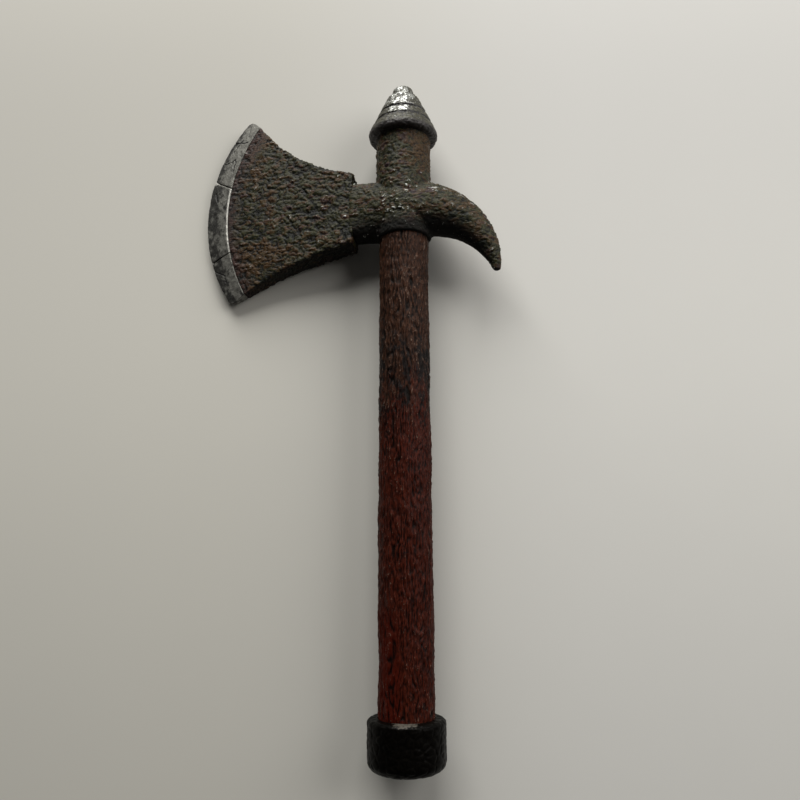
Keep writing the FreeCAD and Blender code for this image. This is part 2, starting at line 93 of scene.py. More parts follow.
def put(mesh, points):
    """Moves the mesh's vertices to those points, in millimetres."""
    mesh.vertices.foreach_set("co", (points * MM).astype(np.float32).ravel())
    mesh.update()


def paint(mesh, name, values):
    """Keeps one number for each vertex, for a material to read."""
    layer = mesh.attributes.new(name, "FLOAT", "POINT")
    layer.data.foreach_set("value", np.asarray(values, np.float32))


def each(points, recipe):
    """recipe(point) for every point, as an array."""
    return np.array([recipe(Vector(point)) for point in points])


def ramped(values, low, high):
    """0 below low, 1 above high, and smooth in between."""
    share = np.clip((values - low) / (high - low), 0, 1)
    return share * share * (3 - 2 * share)


def cloudy(points, size, seed, octaves=3):
    """Soft noise from about -1 to 1 with blobs about size millimetres across."""
    shift = Vector([seed * step for step in CLOUD_SHIFT])
    scale = Vector(size)
    return each(points, lambda p: noise.fractal(
        Vector((p.x / scale.x, p.y / scale.y, p.z / scale.z)) + shift, 1.0, 2.0, octaves))


def lumpy(points, size, seed):
    """Packed lumps about size millimetres across: height from 0 in the creases to 1, and lumps' numbers."""
    shift = Vector([seed * step for step in LUMP_SHIFT])

    def lump(p):
        apart, centres = noise.voronoi(Vector((p.x / size[0], p.y / size[1], p.z / size[2])) + shift)
        return apart[1] - apart[0], noise.cell(centres[0] * LUMP_NUMBER)

    found = each(points, lump)
    return ramped(found[:, 0], 0, CREASE_EDGE), found[:, 1] * 0.5 + 0.5


def billowy(points, size, octaves=3):
    """Rounded swells about size millimetres across that meet in sharp valleys, from about 0 to 1."""
    return each(points, lambda p: noise.turbulence(
        Vector((p.x / size[0], p.y / size[1], p.z / size[2])), octaves, True))


def node_tree(node):
    """A search tree of a CAD node's faces, in millimetres."""
    mesh = NODES[node].data
    return BVHTree.FromPolygons([v.co / MM for v in mesh.vertices], [p.vertices for p in mesh.polygons])


def away_from(points, *nodes):
    """How far each point is from the nearest of those CAD nodes, in millimetres."""
    def reach(p, tree):
        _, _, _, apart = tree.find_nearest(p)
        return apart

    return np.min([each(points, lambda p, tree=node_tree(node): reach(p, tree)) for node in nodes], 0)


def outside(points, *nodes):
    """How far each point is outside the nearest of those CAD nodes, and below 0 inside one."""
    def height(p, tree):
        place, facing, _, apart = tree.find_nearest(p)
        return math.copysign(apart, (p - place).dot(facing))

    return np.min([each(points, lambda p, tree=node_tree(node): height(p, tree)) for node in nodes], 0)


def merged_copy(node):
    """A closed copy of a CAD node's mesh."""
    shape = bmesh.new()
    shape.from_mesh(NODES[node].data)
    bmesh.ops.remove_doubles(shape, verts=shape.verts, dist=SAME_PLACE * MM)
    mesh = bpy.data.meshes.new(node + "_worn")
    shape.to_mesh(mesh)
    shape.free()
    return mesh


def evened(mesh, spacing):
    """The mesh rebuilt from even faces about spacing millimetres wide."""
    holder = bpy.data.objects.new("evening", mesh)
    bpy.context.scene.collection.objects.link(holder)
    rebuild = holder.modifiers.new("even", "REMESH")
    rebuild.mode = "VOXEL"
    rebuild.voxel_size = spacing * MM
    made = bpy.data.meshes.new_from_object(holder.evaluated_get(bpy.context.evaluated_depsgraph_get()))
    bpy.data.objects.remove(holder)
    made.polygons.foreach_set("use_smooth", [True] * len(made.polygons))
    return made


def softened(mesh, spacing, steps, free, fillet=None, corner=None):
    """Fills inner corners to the radius fillet and rounds outer ones to the radius corner, where free is 1.

    spacing is the width of the mesh's faces.
    """
    pairs = np.empty(len(mesh.edges) * 2, np.int32)
    mesh.edges.foreach_get("vertices", pairs)
    one, other = pairs.reshape(-1, 2).T
    size = len(mesh.vertices)
    count = np.bincount(pairs, minlength=size)[:, None]
    for _ in range(steps):
        points = places(mesh)
        total = np.stack([np.bincount(one, points[other, axis], size)
                          + np.bincount(other, points[one, axis], size) for axis in range(3)], 1)
        normals = outward(mesh)
        rise = ((total / count - points) * normals).sum(1)
        move = np.zeros(size)
        if fillet:
            move += np.maximum(rise - spacing ** 2 / (4 * fillet), 0)
        if corner:
            move += np.minimum(rise + spacing ** 2 / (4 * corner), 0)
        put(mesh, points + normals * (EASE * move * free)[:, None])


def finished(name, mesh, material, slot, *stands_for):
    """Puts a mesh into the scene as a piece of the hatchet that stands for those CAD nodes."""
    low, high = np.array(CAD_BOX[0]) / MM + BOX_MARGIN, np.array(CAD_BOX[1]) / MM - BOX_MARGIN
    put(mesh, np.clip(places(mesh), low, high))
    piece = bpy.data.objects.new(name, mesh)
    bpy.context.scene.collection.objects.link(piece)
    mesh.materials.clear()
    mesh.materials.append(material)
    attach(piece, "root")
    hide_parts(*stands_for)
    return piece


# ---------------------------------------------------------------- materials

GRAIN_SHIFT = (1.0, 1.7, 0.6)                           # how the grains of two finishes are set apart
MIX_SHARE, MIX_UNDER, MIX_OVER, MIX_COLOR = 0, 6, 7, 2  # a colour mix's sockets


class Amount:
    """A number that changes over a surface.  Python's sums on it add Math nodes."""

    def __init__(self, finish, socket):
        self.finish, self.socket = finish, socket

    def math(self, operation, *values):
        """What a Math node makes of those values."""
        return self.finish.node("ShaderNodeMath", {"operation": operation}, dict(enumerate(values)))

    def __add__(self, other):
        return self.math("ADD", self, other)

    def __radd__(self, other):
        return self.math("ADD", other, self)

    def __sub__(self, other):
        return self.math("SUBTRACT", self, other)

    def __rsub__(self, other):
        return self.math("SUBTRACT", other, self)

    def __mul__(self, other):
        return self.math("MULTIPLY", self, other)

    def __rmul__(self, other):
        return self.math("MULTIPLY", other, self)

    def between(self, low, high):
        """0 below low, 1 above high, and smooth in between."""
        return self.finish.node("ShaderNodeMapRange", {"interpolation_type": "SMOOTHSTEP", "clamp": True},
                                {"Value": self, "From Min": low, "From Max": high})


class Finish:
    """A material for one kind of surface, built up from its nodes."""

    def __init__(self, name):
        self.material = bpy.data.materials.new(name)
        self.material.use_nodes = True
        self.tree = self.material.node_tree
        self.tree.nodes.clear()
        self.place = self.node("ShaderNodeTexCoord", output="Object")

    def node(self, kind, settings=None, sockets=None, output=0):
        """Adds a node with its settings, and with values or links at its sockets, and gives its output."""
        made = self.tree.nodes.new(kind)
        for name, value in (settings or {}).items():
            if name == "stops":
                ramp = made.color_ramp.elements
                while len(ramp) < len(value):
                    ramp.new(0.5)
                for element, (position, color) in zip(ramp, value):
                    element.position, element.color = position, (*color, 1.0)
            else:
                setattr(made, name, value)
        for name, value in (sockets or {}).items():
            if isinstance(value, Amount):
                self.tree.links.new(value.socket, made.inputs[name])
            else:
                made.inputs[name].default_value = value
        return Amount(self, made.outputs[output])

    def grain(self, size, detail=3.0, roughness=0.55, shift=0.0):
        """Noise from about 0 to 1 whose blobs are size (three lengths in millimetres) large."""
        place = self.node("ShaderNodeMapping", None, {
            "Vector": self.place, "Location": [shift * step for step in GRAIN_SHIFT],
            "Scale": [1 / (length * MM) for length in size]})
        return self.node("ShaderNodeTexNoise", None, {
            "Vector": place, "Scale": 1.0, "Detail": detail, "Roughness": roughness})

    def read(self, name):
        """A number that paint() kept on the mesh."""
        return self.node("ShaderNodeAttribute", {"attribute_name": name}, output="Fac")

    def blend(self, share, under, over, mode="MIX"):
        """The colour under, covered by over as far as share says."""
        return self.node("ShaderNodeMix", {"data_type": "RGBA", "blend_type": mode}, {
            MIX_SHARE: share, MIX_UNDER: under if isinstance(under, Amount) else (*under, 1.0),
            MIX_OVER: over if isinstance(over, Amount) else (*over, 1.0)}, output=MIX_COLOR)

    def colors(self, share, stops):
        """A colour from the ramp with those stops."""
        return self.node("ShaderNodeValToRGB", {"stops": stops}, {"Fac": share}, output="Color")

    def done(self, bump=None, bump_height=0.0, **sockets):
        """Joins everything to the shader, with bump_height in millimetres, and returns the material."""
        if bump is not None:
            sockets["Normal"] = self.node("ShaderNodeBump", None, {
                "Strength": 1.0, "Distance": bump_height * MM, "Height": bump}, output="Normal")
        shader = self.node("ShaderNodeBsdfPrincipled", None, {
            name.replace("_", " "): value for name, value in sockets.items()})
        output = self.tree.nodes.new("ShaderNodeOutputMaterial")
        self.tree.links.new(shader.socket, output.inputs["Surface"])
        return self.material


IRON = [(0.34, (0.006, 0.008, 0.003)), (0.42, (0.040, 0.038, 0.012)), (0.48, (0.014, 0.016, 0.009)),
        (0.54, (0.043, 0.034, 0.011)), (0.60, (0.054, 0.025, 0.008)), (0.67, (0.018, 0.008, 0.012))]
RUST = [(0.34, (0.010, 0.004, 0.002)), (0.66, (0.082, 0.043, 0.012))]
PURPLE_BLOOM = (0.038, 0.020, 0.024)
PIT_BLACK = (0.002, 0.002, 0.0015)
PAINTED_SHADE_BLACK = (0.002, 0.002, 0.002)
BARE_IRON = (0.36, 0.37, 0.35)


def forged_iron():
    """Hammered iron: mottled olive and brown, rusty, purple by the bits, bright on the tops of its lumps
    with wear and on faces towards +Y as a painted highlight, and painted nearly black as painted shade on
    faces towards the butt.
    """
    finish = Finish("forged_iron")
    relief, tint = finish.read("relief"), finish.read("tint")
    fine = finish.grain((1.6, 0.7, 1.1), detail=4.0, roughness=0.7, shift=3.0)
    blotch = finish.grain((8.0, 4.0, 6.0), detail=4.0, roughness=0.65, shift=1.0)
    color = finish.colors(blotch + 0.22 * (tint - 0.5), IRON)
    rust = finish.read("rust") + 1.3 * (blotch - 0.5) + 0.5 * (tint - 0.5) + 0.5 * (fine - 0.5)
    color = finish.blend(rust.between(0.25, 0.85), color, finish.colors(fine, RUST))
    bloom = (finish.read("bit_side") + 0.8 * (fine - 0.5)).between(0.3, 0.9)
    color = finish.blend(bloom * 0.6, color, PURPLE_BLOOM)
    color = finish.blend((relief + 0.8 * (fine - 0.5)).between(0.54, 0.22), color, PIT_BLACK)
    # painted shade: faces towards the butt, and the socket's foot, are painted nearly black and made rougher
    underside = finish.read("underside")
    color = finish.blend(underside * 0.92, color, PAINTED_SHADE_BLACK)
    # bare bright iron on the lumps' tops with wear, and as a painted highlight where faces turn towards +Y
    bare = (relief + 1.6 * (fine - 0.5) + 0.25 * finish.read("worn")).between(0.92, 1.10)
    color = finish.blend(bare, color, BARE_IRON)
    return finish.done(bump=fine, bump_height=0.4, Base_Color=color, Metallic=0.05 + 0.5 * bare,
                       Roughness=0.42 - 0.17 * bare + 0.4 * underside, Specular_IOR_Level=0.22)


FINIAL_SKIN = [(0.35, (0.009, 0.010, 0.006)), (0.65, (0.070, 0.064, 0.038))]
FINIAL_FOOT_SHADE = (0.014, 0.009, 0.012)
BARE_FINIAL = (0.42, 0.43, 0.41)
FINIAL_DIRT = (0.010, 0.009, 0.009)


def finial_iron():
    """Iron bright with wear on the tiers' fronts and brightened towards its top as a painted highlight, dark
    in its creases, and with painted shade round the skirt's foot and the knob's foot.
    """
    finish = Finish("finial_iron")
    fine = finish.grain((1.6, 0.9, 1.2), detail=4.0, roughness=0.65, shift=5.0)
    blotch = finish.grain((3.4, 4.5, 3.4), detail=3.0, roughness=0.6, shift=15.0)
    color = finish.colors(fine, FINIAL_SKIN)
    # painted shade round the skirt's foot and where the knob meets the cone
    color = finish.blend(finish.read("foot") * 0.8, color, FINIAL_FOOT_SHADE)
    # bright with wear, and brightened towards the top as a painted highlight
    bare = (finish.read("worn") + 2.0 * (blotch - 0.5) + 0.7 * (fine - 0.5)).between(0.45, 0.80)
    color = finish.blend(bare, color, BARE_FINIAL)
    crease = (finish.read("relief") + 0.4 * (fine - 0.5)).between(0.45, 0.10)
    color = finish.blend(crease, color, FINIAL_DIRT)
    return finish.done(bump=fine, bump_height=0.25, Base_Color=color, Metallic=0.15 + 0.65 * bare,
                       Roughness=0.45 - 0.2 * bare)


PALE_STEEL = [(0.3, (0.070, 0.069, 0.060)), (0.7, (0.24, 0.235, 0.212))]
DARK_STEEL = [(0.35, (0.008, 0.008, 0.008)), (0.7, (0.060, 0.058, 0.052))]
BRIGHT_RIM = (0.40, 0.39, 0.36)
CRACK_BLACK = (0.005, 0.005, 0.005)


def bit_steel():
    """Ground steel with dark stains, a bright rim along its seat, a painted highlight on the middle bit's
    upper end and black cracks.
    """
    finish = Finish("bit_steel")
    fine = finish.grain((0.9, 0.9, 0.9), detail=4.0, roughness=0.7, shift=6.0)
    blotch = finish.grain((4.0, 5.0, 4.0), detail=4.0, roughness=0.65, shift=7.0)
    stain = (finish.read("dark") + 2.9 * (blotch - 0.5) + 1.0 * (fine - 0.5)).between(0.32, 0.76)
    color = finish.blend(stain, finish.colors(fine, PALE_STEEL), finish.colors(fine, DARK_STEEL))
    # a bright rim along the seat, and a painted highlight on the middle bit's upper end
    color = finish.blend((finish.read("rim") + 0.8 * (fine - 0.5)).between(0.3, 0.9), color, BRIGHT_RIM)
    color = finish.blend(finish.read("crack"), color, CRACK_BLACK)
    return finish.done(bump=fine, bump_height=0.15, Base_Color=color, Metallic=0.5, Roughness=0.5)


BLACK_IRON = [(0.40, (0.0010, 0.0008, 0.0006)), (0.7, (0.0032, 0.0026, 0.0020))]
PAINTED_HIGHLIGHT = (0.17, 0.155, 0.13)


def pommel_iron():
    """Black iron, with a pale painted highlight on the cap's lip."""
    finish = Finish("pommel_iron")
    fine = finish.grain((1.4, 1.4, 1.4), detail=3.0, shift=8.0)
    # a pale painted highlight on the lip
    rubbed_and_lit = (finish.read("worn") + 1.8 * (fine - 0.5)).between(0.45, 1.05)
    color = finish.blend(rubbed_and_lit * 0.55, finish.colors(fine, BLACK_IRON), PAINTED_HIGHLIGHT)
    return finish.done(bump=fine, bump_height=0.08, Base_Color=color, Roughness=0.38,
                       Specular_IOR_Level=0.05)


BROWN_STAIN = [(0.38, (0.004, 0.002, 0.0014)), (0.62, (0.060, 0.025, 0.014))]
CHERRY_STAIN = [(0.38, (0.006, 0.0013, 0.0009)), (0.62, (0.068, 0.0115, 0.0052))]
RED_BLUSH = (0.050, 0.0050, 0.0018)
SOOT_BLACK = (0.005, 0.004, 0.004)
GROOVE_BLACK = (0.002, 0.0014, 0.001)
BARE_WOOD = (0.20, 0.135, 0.10)


def haft_wood():
    """Wood stained brown above and cherry below, redder on its -X side near the cap, with sooty patches,
    black grooves and flecks of bare wood.
    """
    finish = Finish("haft_wood")
    ridge, red = finish.read("relief"), finish.read("red")
    fibre = finish.grain((0.7, 4.0, 0.7), detail=4.0, roughness=0.7, shift=9.0)
    speck = finish.grain((0.9, 1.3, 0.9), detail=3.0, roughness=0.7, shift=16.0)
    blotch = finish.grain((4.0, 8.0, 4.0), detail=4.0, roughness=0.65, shift=10.0)
    brown, cherry = finish.colors(fibre, BROWN_STAIN), finish.colors(fibre, CHERRY_STAIN)
    color = finish.blend((red + 1.2 * (blotch - 0.5)).between(0.25, 0.75), brown, cherry)
    # redder on the haft's -X side near the cap
    blush = (finish.read("blush") + 1.0 * (blotch - 0.5)).between(0.25, 0.85)
    color = finish.blend(blush, color, RED_BLUSH)
    soot = (finish.read("soot") + 1.6 * (blotch - 0.5) + 0.8 * (speck - 0.5)).between(0.50, 0.75)
    color = finish.blend(soot * 0.92, color, SOOT_BLACK)
    color = finish.blend(ridge.between(0.80, 0.25) * 0.9, color, GROOVE_BLACK)
    fleck = (ridge + 2.0 * (speck - 0.5) - 0.10 * red).between(1.12, 1.36)
    color = finish.blend(fleck * 0.6, color, BARE_WOOD)
    return finish.done(bump=fibre, bump_height=0.3, Base_Color=color, Roughness=0.45,
                       Specular_IOR_Level=0.08)


PLAIN_WOOD = [(0.35, (0.16, 0.085, 0.035)), (0.65, (0.30, 0.18, 0.085))]
PLAIN_STEEL = [(0.35, (0.09, 0.088, 0.084)), (0.65, (0.26, 0.255, 0.245))]
RIVET_SKIN = [(0.35, (0.020, 0.019, 0.017)), (0.65, (0.14, 0.135, 0.125))]


def wedge_wood():
    """Plain riven wood, with its fibres along the haft."""
    finish = Finish("wedge_wood")
    fibre = finish.grain((0.8, 10.0, 0.8), detail=4.0, shift=11.0)
    return finish.done(bump=fibre, bump_height=0.1, Base_Color=finish.colors(fibre, PLAIN_WOOD),
                       Roughness=0.7 - 0.1 * fibre)


def wedge_steel():
    """Plain drawn steel."""
    finish = Finish("wedge_steel")
    fine = finish.grain((0.8, 3.0, 0.8), detail=4.0, shift=12.0)
    return finish.done(bump=fine, bump_height=0.05, Base_Color=finish.colors(fine, PLAIN_STEEL),
                       Metallic=0.9, Roughness=0.45 + 0.15 * fine)


def rivet_steel():
    """Dark peened steel."""
    finish = Finish("rivet_steel")
    fine = finish.grain((0.9, 0.9, 0.9), detail=4.0, shift=13.0)
    return finish.done(bump=fine, bump_height=0.1, Base_Color=finish.colors(fine, RIVET_SKIN),
                       Metallic=0.8, Roughness=0.5)


CARD, LIT_CARD = (0.552, 0.540, 0.492), (0.636, 0.630, 0.600)
CARD_LIT_ALONG_X = (-0.15, 0.14)   # where it is painted lighter, as light, along X
PAINTED_CARD_SHADE = (0.83, 0.83, 0.84)
CARD_SHADED_ALONG_Y = (0.20, 0.50)    # where it is painted darker, as shade, along Y
CARD_FLECK = (0.45, 0.45, 0.44)


def floor_card():
    """Pale card with painted light: a little lighter towards +X, and darker towards +Y as painted shade."""
    finish = Finish("floor_card")
    fine = finish.grain((40.0, 40.0, 40.0), detail=2.0, shift=14.0)
    aside = finish.node("ShaderNodeSeparateXYZ", None, {"Vector": finish.place}, output="X")
    past_head = finish.node("ShaderNodeSeparateXYZ", None, {"Vector": finish.place}, output="Y")
    # painted light and shade across the card
    color = finish.blend(aside.between(*CARD_LIT_ALONG_X), CARD, LIT_CARD)
    color = finish.blend(past_head.between(*CARD_SHADED_ALONG_Y), color, PAINTED_CARD_SHADE, "MULTIPLY")
    color = finish.blend(fine.between(0.35, 0.65) * 0.02, color, CARD_FLECK)
    return finish.done(Base_Color=color, Roughness=0.9)


# ---------------------------------------------------------------- how the tool lies, and rough iron

def rest_roll():
    """How far the tool is rolled about its haft as it rests, from the flattened shape of the head."""
    mesh = NODES["head_forging"].data
    middles = np.array([p.center for p in mesh.polygons])
    areas = np.array([p.area for p in mesh.polygons])
    x = middles[:, 0] - np.average(middles[:, 0], weights=areas)
    z = middles[:, 2] - np.average(middles[:, 2], weights=areas)
    spread_x, spread_z, together = (areas * x * x).sum(), (areas * z * z).sum(), (areas * x * z).sum()
    return 0.5 * math.atan2(2 * together, spread_x - spread_z)


ROLL = rest_roll()


def unrolled(points):
    """The points turned back about the haft, so that the blade lies flat."""
    turned = points.copy()
    turned[:, 0] = points[:, 0] * math.cos(ROLL) + points[:, 2] * math.sin(ROLL)
    turned[:, 2] = points[:, 2] * math.cos(ROLL) - points[:, 0] * math.sin(ROLL)
    return turned


BITS = ("edge_bit_upper", "edge_bit_middle", "edge_bit_lower")
NEIGHBOURS = {
    "blade_body": ("head_forging", *BITS, "blade_rivets", "bit_rivets"),
    "head_forging": ("haft", "wood_wedge", "blade_body", "finial_cap", "blade_rivets"),
    "finial_cap": ("head_forging", "finial_knob", "haft"),
    "finial_knob": ("finial_cap",),
    "pommel_cap": ("haft", "pommel_pin"),
    **{bit: ("blade_body", "bit_rivets") for bit in BITS},
}
LOOK_OUT = 0.8        # how far ahead of a face its neighbours are looked for
OPEN = (0.2, 0.7)     # how clear of them that place is where the face starts to show, and where it shows


def free_of(node, mesh):
    """0 on a piece's faces that touch or lie inside its neighbours, and 1 on those that show."""
    ahead = places(mesh) + LOOK_OUT * outward(mesh)
    return ramped(outside(ahead, *NEIGHBOURS[node]), *OPEN)


IRON_SPACING = 0.6
IRON_RELIEF = 2.1                                # from the pits to the tops of the lumps
HAMMER_DRIFT, DRIFT_SIZE = 1.5, (7, 5, 6)        # how far the lumps wander, and over what length
BIG_LUMPS, SMALL_LUMPS, SWELLS = (5.2, 2.6, 3.6), (2.4, 1.2, 1.9), (5.5, 3.0, 4.0)
BIG_SHARE, SMALL_SHARE, SWELL_SHARE = 0.42, 0.22, 0.62
LOW_LUMP, LUMP_RANGE = 0.2, 0.8                  # the lowest lump's height, and the range above it


def hammered(flat):
    """Rough iron with lumps longer along X: height from about 0 in the pits to 1, and lumps' own numbers."""
    bent = flat + HAMMER_DRIFT * np.stack([cloudy(flat, DRIFT_SIZE, seed) for seed in (1, 2, 3)], 1)
    crease, own = lumpy(bent, BIG_LUMPS, seed=1)
    small_crease, small_own = lumpy(bent, SMALL_LUMPS, seed=2)
    height = (BIG_SHARE * crease * (LOW_LUMP + LUMP_RANGE * own)
              + SMALL_SHARE * small_crease * (LOW_LUMP + LUMP_RANGE * small_own)
              + SWELL_SHARE * billowy(bent, SWELLS))
    return height, own


# ---------------------------------------------------------------- the blade and its bits

BLADE_STEPS, BLADE_CORNER = 90, 3.0
BLADE_ROOT = (1.0, 3.5)              # the corners are rounded from here on, away from the neck
BLADE_LEVEL = 0.55                   # the height in the relief that stays where the CAD has it
BLADE_SHALLOW = 0.65                 # the relief's least share, by the edge's lower end
BLADE_DEEP = (0.35, 0.9)             # where it grows to the whole, in shares of the blade towards its root
BLADE_SWELL, BLADE_SWELL_SIZE = 0.35, (11, 8, 11)
BLOOM_REACH = (9, 1)                 # from the bits, where the purple bloom starts and where it is full
RUST_CLOUD = (22, 16, 22)


def worn_blade(iron):
    """The blade's rough cheeks and rounded corners, rustier at the ends of its edge, with a painted
    highlight on faces towards +Y and painted shade on faces towards the butt.
    """
    mesh = evened(merged_copy("blade_body"), IRON_SPACING)
    free = free_of("blade_body", mesh)
    rounding = free * ramped(away_from(places(mesh), "head_forging"), *BLADE_ROOT)
    softened(mesh, IRON_SPACING, BLADE_STEPS, rounding, corner=BLADE_CORNER)
    points = places(mesh)
    flat = unrolled(points)
    height, own = hammered(flat)
    low, high = flat.min(0), flat.max(0)
    across = (flat - low) / (high - low)
    deep = ramped(across[:, 0] + 0.3 * across[:, 1], *BLADE_DEEP)
    depth = IRON_RELIEF * (BLADE_SHALLOW + (1 - BLADE_SHALLOW) * deep)
    move = depth * (height - BLADE_LEVEL) + BLADE_SWELL * cloudy(flat, BLADE_SWELL_SIZE, seed=5, octaves=2)
    put(mesh, points + outward(mesh) * (free * move)[:, None])
    to_bit = away_from(points, *BITS)
    facing_up = outward(mesh)[:, 1]
    corner_rust = ramped(0.6 - across[:, 0], 0, 0.5) * ramped(np.abs(across[:, 1] - 0.5), 0.02, 0.35)
    # brighter on faces towards +Y as a painted highlight, and towards the root's upper corner
    rubbed_and_lit = ramped(facing_up, 0.2, 0.8) + 0.5 * ramped(across[:, 0] + 0.5 * across[:, 1], 0.9, 1.3)
    paint(mesh, "relief", height)
    paint(mesh, "tint", own)
    patches = cloudy(flat, RUST_CLOUD, seed=6, octaves=2)
    paint(mesh, "rust", np.clip(0.18 + 0.7 * corner_rust + 0.35 * patches, 0, 1))
    paint(mesh, "bit_side", ramped(to_bit, *BLOOM_REACH))
    # painted shade on the faces towards the butt
    paint(mesh, "underside", 0.85 * ramped(facing_up, -0.35, -0.85))
    paint(mesh, "worn", rubbed_and_lit - 0.3)
    return finished("blade_body_worn", mesh, iron, "blade_iron", "blade_body")


BIT_SPACING, BIT_STEPS, BIT_CORNER = 0.4, 30, 1.0
WIDTH_MARKS = 12                       # how many places a bit's width is measured at
DENT, DENT_SIZE = 0.22, (3.2, 3.2, 3.2)
STAIN_DRIFT = (5, 5, 5)
STAIN_EDGE = (-0.14, 0.12)             # how soft the stain's edge is, in shares of the bit's width
RIM = (1.6, 0.8)                       # how wide the middle bit's bright rim is
TOP_END_HIGHLIGHT = (0.955, 0.985)               # the middle bit's upper end, painted bright as a highlight, in shares of its length
CRACK_WIDTH, CRACK_DEPTH = 0.5, 0.35
CRACK_DRIFT, CRACK_DRIFT_SIZE = 0.6, (2.5, 2.5, 2.5)
# Each crack's corners: shares of the bit's length, from its lower end, and of its width, from its seat.
CRACKS = {
    "edge_bit_upper": (((0.44, 0.80), (0.47, 0.30), (0.30, 0.22)),
                       ((0.74, 0.95), (0.70, 0.15)),
                       ((0.60, 0.62), (0.76, 0.50))),
    "edge_bit_middle": (((0.86, 0.75), (0.74, 0.60)),),
    "edge_bit_lower": (((0.62, 0.95), (0.52, 0.55), (0.40, 0.60)),),
}


def near_line(along, across, corners):
    """How far each place is from a line through those corners."""
    found = np.full(len(along), np.inf)
    for (start, first), (end, last) in zip(corners, corners[1:]):
        run, rise = end - start, last - first
        share = ((along - start) * run + (across - first) * rise) / (run * run + rise * rise)
        share = np.clip(share, 0, 1)
        found = np.minimum(found, np.hypot(along - start - share * run, across - first - share * rise))
    return found


def worn_bit(node, band, dark, pale, material):
    """One of the three ground bits, stained dark outside the share band of its width and pale inside it."""
    mesh = evened(merged_copy(node), BIT_SPACING)
    free = free_of(node, mesh)
    softened(mesh, BIT_SPACING, BIT_STEPS, free, corner=BIT_CORNER)
    points = places(mesh)
    flat = unrolled(points)
    across = away_from(points, "blade_body")
    along = flat[:, 1] - flat[:, 1].min()
    width, length = across.max(), np.ptp(flat[:, 1])
    marks = np.linspace(0, length, WIDTH_MARKS)
    widths = [across[np.abs(along - mark) < length / WIDTH_MARKS].max() for mark in marks]
    bent = CRACK_DRIFT * cloudy(flat, CRACK_DRIFT_SIZE, seed=18, octaves=2)
    crack = np.min([near_line(along + bent, across + bent, [(a * length, c * width) for a, c in corners])
                    for corners in CRACKS[node]], 0)
    split = ramped(crack, CRACK_WIDTH, 0.5 * CRACK_WIDTH) * (flat[:, 2] > 0)
    dents = 0.5 + cloudy(flat, DENT_SIZE, seed=7)
    put(mesh, points - outward(mesh) * (free * (DENT * dents + CRACK_DEPTH * split))[:, None])
    share = across / np.interp(along, marks, widths)
    wandering = share + 0.10 * cloudy(flat, STAIN_DRIFT, seed=19)
    outer = ramped(wandering - band, *STAIN_EDGE)
    # a bright rim along the seat, and a painted highlight on the upper end, which faces the light
    rim = np.maximum(ramped(across, *RIM), ramped(along / length, *TOP_END_HIGHLIGHT))
    paint(mesh, "dark", pale + (dark - pale) * outer)
    paint(mesh, "rim", rim * (node == "edge_bit_middle"))
    paint(mesh, "crack", split)
    return finished(node + "_worn", mesh, material, "bit_steel", node)


# ---------------------------------------------------------------- the head

LAP = 2.2                                      # how far the neck's end runs on under the cheeks
LAP_START, LAP_END = (1.1, 0.4), (-0.6, -0.3)  # where it does, from the blade's root
LAP_RISE = 0.45                                # how much the neck swells on its way there
RISE_START = (7, 0.5)                          # where it starts to swell and has swollen, from the root
RISE_SIDES = (5, 9)                            # how far from the blade's middle plane that happens


def lapped(mesh, flat, free):
    """Runs the neck's end a little way under the blade's rough cheeks, so that no straight seam shows."""
    root = unrolled(places(NODES["blade_body"].data))[:, 0].max()
    points = places(mesh)
    from_root, height = flat[:, 0] - root, flat[:, 2]
    near_cheeks = ramped(from_root, *RISE_START) * ramped(abs(height), *RISE_SIDES)
    rise = LAP_RISE * np.sign(height) * free * near_cheeks
    slide = LAP * ramped(from_root, *LAP_START) * ramped(from_root, *LAP_END)
    move = np.stack([-slide * math.cos(ROLL) - rise * math.sin(ROLL), np.zeros(len(points)),
                     rise * math.cos(ROLL) - slide * math.sin(ROLL)], 1)
    put(mesh, points + move)


HEAD_STEPS, HEAD_FILLET, HEAD_CORNER = 160, 5.0, 2.0
HEAD_RELIEF = 0.75      # its share of the iron's relief
HEAD_LEVEL = 0.65       # the height in the relief that stays where the CAD has it
HEAD_LIFT = 0.08        # added to the relief's height
SOCKET_RADIUS = 18      # the socket's foot is looked for inside this radius
# Each pair below says where something starts and where it is full, from the haft's axis towards the beak,
# or up from the socket's foot.
BEAK_ROOT = (18, 30)
BEAK_RUST, BEAK_RUST_END = (20, 36), (58, 42)
TUBE_START, TUBE_RUST = (40, 48), (-1, 13)
BOSS_SIDES, BOSS_FOOT, BOSS_TOP = (20, 6), (7, 14), (38, 26)
# where the painted shade round the socket's foot fades, up from the foot and out towards the beak
FOOT_SHADE, FOOT_SIDE = (15, 4), (30, 22)
HEAD_RUST_CLOUD = (20, 14, 20)


